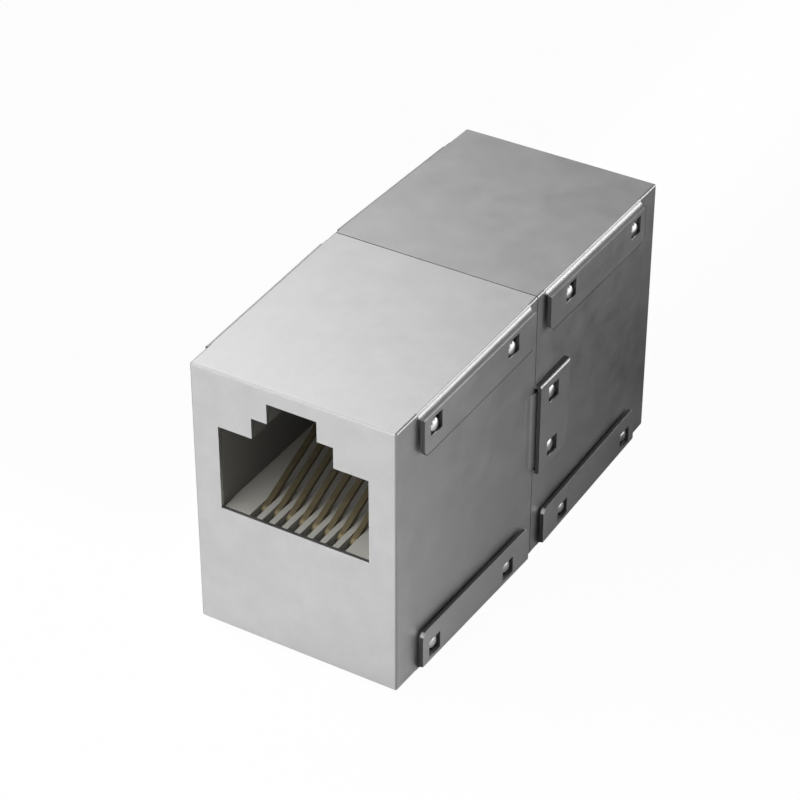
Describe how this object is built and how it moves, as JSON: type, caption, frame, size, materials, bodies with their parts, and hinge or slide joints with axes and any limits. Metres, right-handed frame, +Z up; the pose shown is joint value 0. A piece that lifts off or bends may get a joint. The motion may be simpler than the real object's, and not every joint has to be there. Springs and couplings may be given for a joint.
{
  "type": "ethernet inline coupler",
  "caption": "Shielded inline coupler that joins two network patch cords, in two folded metal halves that snap together round a jack at each end",
  "frame": {"origin": "under the middle of the coupler, on the seam where both shield halves meet", "axes": "+X to the right of the front port, +Y from the front port to the rear port, +Z up, latch side of both ports up"},
  "size_m": [0.0174, 0.0368, 0.0223],
  "materials": {
    "shield_metal": "nickel plated sheet, satin",
    "housing_plastic": "moulded, fine matte",
    "carrier_plastic": "moulded, fine matte",
    "contact_metal": "gold plated spring wire",
    "board_laminate": "solder mask, semi-matte",
    "solder": "bright solder"
  },
  "bodies": {
    "root": {"front_shield": "shield_metal", "front_jack_housing": "housing_plastic", "front_contact_carrier": "carrier_plastic", "front_contact_1": "contact_metal", "front_contact_2": "contact_metal", "front_contact_3": "contact_metal", "front_contact_4": "contact_metal", "front_contact_5": "contact_metal", "front_contact_6": "contact_metal", "front_contact_7": "contact_metal", "front_contact_8": "contact_metal", "rear_shield": "shield_metal", "rear_jack_housing": "housing_plastic", "rear_contact_carrier": "carrier_plastic", "rear_contact_1": "contact_metal", "rear_contact_2": "contact_metal", "rear_contact_3": "contact_metal", "rear_contact_4": "contact_metal", "rear_contact_5": "contact_metal", "rear_contact_6": "contact_metal", "rear_contact_7": "contact_metal", "rear_contact_8": "contact_metal", "circuit_board": "board_laminate", "solder_joints": "solder"}
  },
  "joints": []
}
